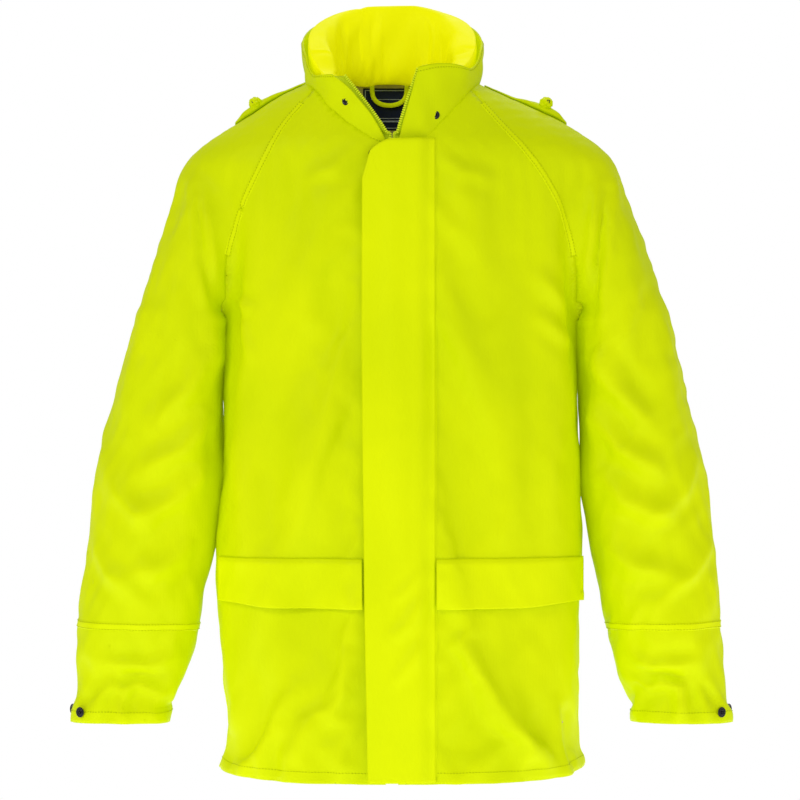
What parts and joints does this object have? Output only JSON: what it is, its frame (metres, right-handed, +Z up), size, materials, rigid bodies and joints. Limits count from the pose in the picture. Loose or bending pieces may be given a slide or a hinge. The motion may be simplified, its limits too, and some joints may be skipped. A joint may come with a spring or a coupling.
{
  "type": "foul weather jacket",
  "caption": "Yellow waterproof sailing jacket with raglan sleeves, storm flap over a zip, two flapped pockets and a hood rolled in the collar.",
  "frame": {"origin": "the nape: centre back at the neck seam, where the wearer or hanger carries the jacket", "axes": "+Z up, -Y out of the front, +X towards the wearer's left"},
  "size_m": [0.7714, 0.2936, 0.893],
  "materials": {
    "coated_fabric": "satin coated",
    "lining": "matte",
    "label": "woven",
    "loop_tape": "ribbed tape",
    "zip_tape": "woven tape",
    "zip_teeth": "gloss",
    "dark_metal": "dark gunmetal"
  },
  "bodies": {
    "jacket_body": {"back_panel": "coated_fabric", "front_panel_left": "coated_fabric", "front_panel_right": "coated_fabric", "shoulder_left": "coated_fabric", "shoulder_right": "coated_fabric", "collar": "coated_fabric", "hood_roll": "coated_fabric", "collar_facing": "coated_fabric", "neck_facing": "lining", "neck_label": "label", "zip_tape_left": "zip_tape", "zip_tape_right": "zip_tape", "zip_teeth_left": "zip_teeth", "zip_teeth_right": "zip_teeth", "zip_bottom_box": "dark_metal", "flap_seam_strip": "coated_fabric", "front_stud_1": "dark_metal", "front_stud_2": "dark_metal", "front_stud_3": "dark_metal", "front_stud_4": "dark_metal", "front_stud_5": "dark_metal", "pocket_bag_left": "lining", "pocket_bag_right": "lining", "collar_stud_left": "dark_metal", "collar_stud_right": "dark_metal"},
    "sleeve_left": {"sleeve_upper_left": "coated_fabric", "sleeve_lower_left": "coated_fabric", "cuff_turn_up_left": "lining", "cuff_stud_left": "dark_metal", "cuff_stud_partner_left": "dark_metal", "cuff_stud_rivet_left": "dark_metal"},
    "sleeve_right": {"sleeve_upper_right": "coated_fabric", "sleeve_lower_right": "coated_fabric", "cuff_turn_up_right": "lining", "cuff_stud_right": "dark_metal", "cuff_stud_partner_right": "dark_metal", "cuff_stud_rivet_right": "dark_metal"},
    "storm_flap_body": {"storm_flap": "coated_fabric", "storm_flap_facing": "coated_fabric", "flap_stud_1": "dark_metal", "flap_stud_2": "dark_metal", "flap_stud_3": "dark_metal", "flap_stud_4": "dark_metal", "flap_stud_5": "dark_metal"},
    "pocket_flap_body_left": {"pocket_flap_left": "coated_fabric"},
    "pocket_flap_body_right": {"pocket_flap_right": "coated_fabric"},
    "slider_body": {"zip_slider": "dark_metal"},
    "puller_body": {"zip_puller": "dark_metal"},
    "loop_body": {"hanging_loop": "loop_tape"},
    "tab_body_left": {"shoulder_tab_left": "coated_fabric", "tab_toggle_left": "coated_fabric"},
    "tab_body_right": {"shoulder_tab_right": "coated_fabric", "tab_toggle_right": "coated_fabric"}
  },
  "joints": [
    {"name": "sleeve_lift_left", "type": "hinge", "parent": "jacket_body", "child": "sleeve_left", "pos_m": [0.25, -0.09, -0.097], "axis": [0, -1, 0], "range_deg": [0, 65]},
    {"name": "sleeve_lift_right", "type": "hinge", "parent": "jacket_body", "child": "sleeve_right", "pos_m": [-0.25, -0.09, -0.097], "axis": [0, 1, 0], "range_deg": [0, 65]},
    {"name": "storm_flap_open", "type": "hinge", "parent": "jacket_body", "child": "storm_flap_body", "pos_m": [0.03, -0.22042, -0.445], "axis": [0, 0.0619, 0.9981], "range_deg": [0, 115]},
    {"name": "pocket_flap_open_left", "type": "hinge", "parent": "jacket_body", "child": "pocket_flap_body_left", "pos_m": [0.13264, -0.20334, -0.549], "axis": [-0.907, -0.4211, 0], "range_deg": [0, 100]},
    {"name": "pocket_flap_open_right", "type": "hinge", "parent": "jacket_body", "child": "pocket_flap_body_right", "pos_m": [-0.13264, -0.20334, -0.549], "axis": [-0.907, 0.4211, 0], "range_deg": [0, 100]},
    {"name": "zip_slide", "type": "slide", "parent": "jacket_body", "child": "slider_body", "axis": [0, -0.0619, -0.9981], "range_m": [0, 0.673]},
    {"name": "puller_swing", "type": "hinge", "parent": "slider_body", "child": "puller_body", "pos_m": [-0.01, -0.19195, -0.08087], "axis": [-1, 0, 0], "range_deg": [0, 6]},
    {"name": "hanging_loop_swing", "type": "hinge", "parent": "jacket_body", "child": "loop_body", "pos_m": [0, -0.0066, -0.003], "axis": [-1, 0, 0], "range_deg": [0, 80]},
    {"name": "shoulder_tab_lift_left", "type": "hinge", "parent": "jacket_body", "child": "tab_body_left", "pos_m": [0.19065, -0.09, -0.04717], "axis": [0, 1, 0], "range_deg": [0, 80]},
    {"name": "shoulder_tab_lift_right", "type": "hinge", "parent": "jacket_body", "child": "tab_body_right", "pos_m": [-0.19065, -0.09, -0.04717], "axis": [0, -1, 0], "range_deg": [0, 80]}
  ]
}
